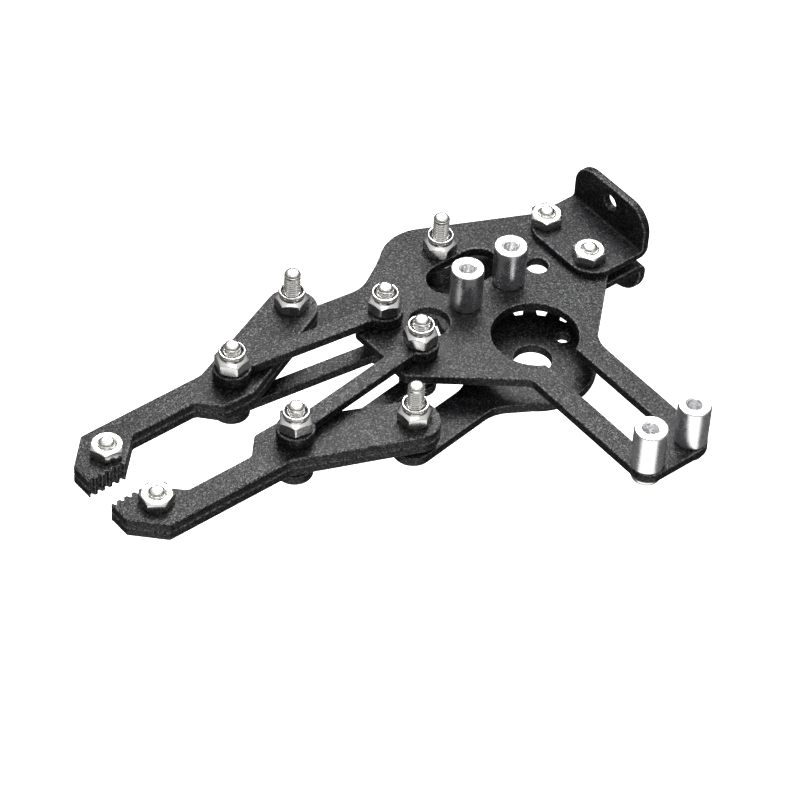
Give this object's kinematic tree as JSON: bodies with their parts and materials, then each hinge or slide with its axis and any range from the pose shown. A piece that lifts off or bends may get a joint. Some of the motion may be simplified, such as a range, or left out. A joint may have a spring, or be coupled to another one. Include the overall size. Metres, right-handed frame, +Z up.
{
  "type": "two-finger gripper claw",
  "caption": "Parallel two-finger gripper claw in black sheet metal, with a sector-gear linkage, a seat for a standard-size servo and a flanged wrist.",
  "frame": {"origin": "on the rear wrist plane, midway between the two wrist screw holes, at the middle of the body plate's thickness", "axes": "+X towards the fingertips, +Y towards the servo end of the body plate, +Z up on the standoff side"},
  "size_m": [0.1149, 0.0778, 0.0209],
  "materials": {
    "black_plate": "fine-textured black powder coat on aluminium sheet",
    "zinc_steel": "bright plated steel screws, nuts and spacers",
    "black_nylon": "black nylon washers",
    "standoff_aluminium": "bright turned aluminium"
  },
  "bodies": {
    "frame": {"body_plate": "black_plate", "upper_wrist_bracket": "black_plate", "lower_wrist_bracket": "black_plate", "bracket_bolts": "zinc_steel", "bracket_nuts": "zinc_steel", "servo_standoffs": "standoff_aluminium", "standoff_screws": "zinc_steel", "idler_pivot_bolt": "zinc_steel", "idler_pivot_nut": "zinc_steel", "idler_pivot_spacer": "zinc_steel", "link_pivot_bolts": "zinc_steel", "link_pivot_nuts": "zinc_steel", "link_pivot_washers": "black_nylon", "link_pivot_spacers": "zinc_steel"},
    "drive_arm": {"drive_gear_arm": "black_plate"},
    "idler_arm": {"idler_gear_arm": "black_plate"},
    "left_links": {"left_upper_link_bar": "black_plate", "left_lower_link_bar": "black_plate"},
    "left_finger": {"left_finger_upper_plate": "black_plate", "left_finger_lower_plate": "black_plate", "left_tip_bolt": "zinc_steel", "left_tip_nut": "zinc_steel", "left_outer_pivot_bolt": "zinc_steel", "left_outer_pivot_nut": "zinc_steel", "left_outer_pivot_spacer": "zinc_steel", "left_inner_pivot_bolt": "zinc_steel", "left_inner_pivot_nut": "zinc_steel", "left_inner_pivot_washer": "black_nylon", "left_inner_pivot_spacer": "zinc_steel"},
    "right_links": {"right_upper_link_bar": "black_plate", "right_lower_link_bar": "black_plate"},
    "right_finger": {"right_finger_upper_plate": "black_plate", "right_finger_lower_plate": "black_plate", "right_tip_bolt": "zinc_steel", "right_tip_nut": "zinc_steel", "right_outer_pivot_bolt": "zinc_steel", "right_outer_pivot_nut": "zinc_steel", "right_outer_pivot_spacer": "zinc_steel", "right_inner_pivot_bolt": "zinc_steel", "right_inner_pivot_nut": "zinc_steel", "right_inner_pivot_washer": "black_nylon", "right_inner_pivot_spacer": "zinc_steel"}
  },
  "joints": [
    {"name": "drive_gear_turn", "type": "hinge", "parent": "frame", "child": "drive_arm", "pos_m": [0.03, 0.0135, 0], "axis": [0, 0, 1], "range_deg": [-5.7, 54.5]},
    {"name": "idler_gear_turn", "type": "hinge", "parent": "frame", "child": "idler_arm", "pos_m": [0.03, -0.0135, 0], "axis": [0, 0, 1], "range_deg": [-54.5, 5.7]},
    {"name": "left_link_turn", "type": "hinge", "parent": "frame", "child": "left_links", "pos_m": [0.0496, 0.0051, 0], "axis": [0, 0, 1], "range_deg": [-5.7, 54.5]},
    {"name": "right_link_turn", "type": "hinge", "parent": "frame", "child": "right_links", "pos_m": [0.0496, -0.0051, 0], "axis": [0, 0, 1], "range_deg": [-54.5, 5.7]},
    {"name": "left_finger_turn", "type": "hinge", "parent": "drive_arm", "child": "left_finger", "pos_m": [0.06073, 0.01755, 0], "axis": [0, 0, 1], "range_deg": [-54.5, 5.7]},
    {"name": "right_finger_turn", "type": "hinge", "parent": "idler_arm", "child": "right_finger", "pos_m": [0.06073, -0.01755, 0], "axis": [0, 0, 1], "range_deg": [-5.7, 54.5]}
  ],
  "couplings": [
    {"joint": "idler_gear_turn", "follows": "drive_gear_turn", "ratio": -1},
    {"joint": "left_link_turn", "follows": "drive_gear_turn", "ratio": 1},
    {"joint": "right_link_turn", "follows": "drive_gear_turn", "ratio": -1},
    {"joint": "left_finger_turn", "follows": "drive_gear_turn", "ratio": -1},
    {"joint": "right_finger_turn", "follows": "drive_gear_turn", "ratio": 1}
  ]
}
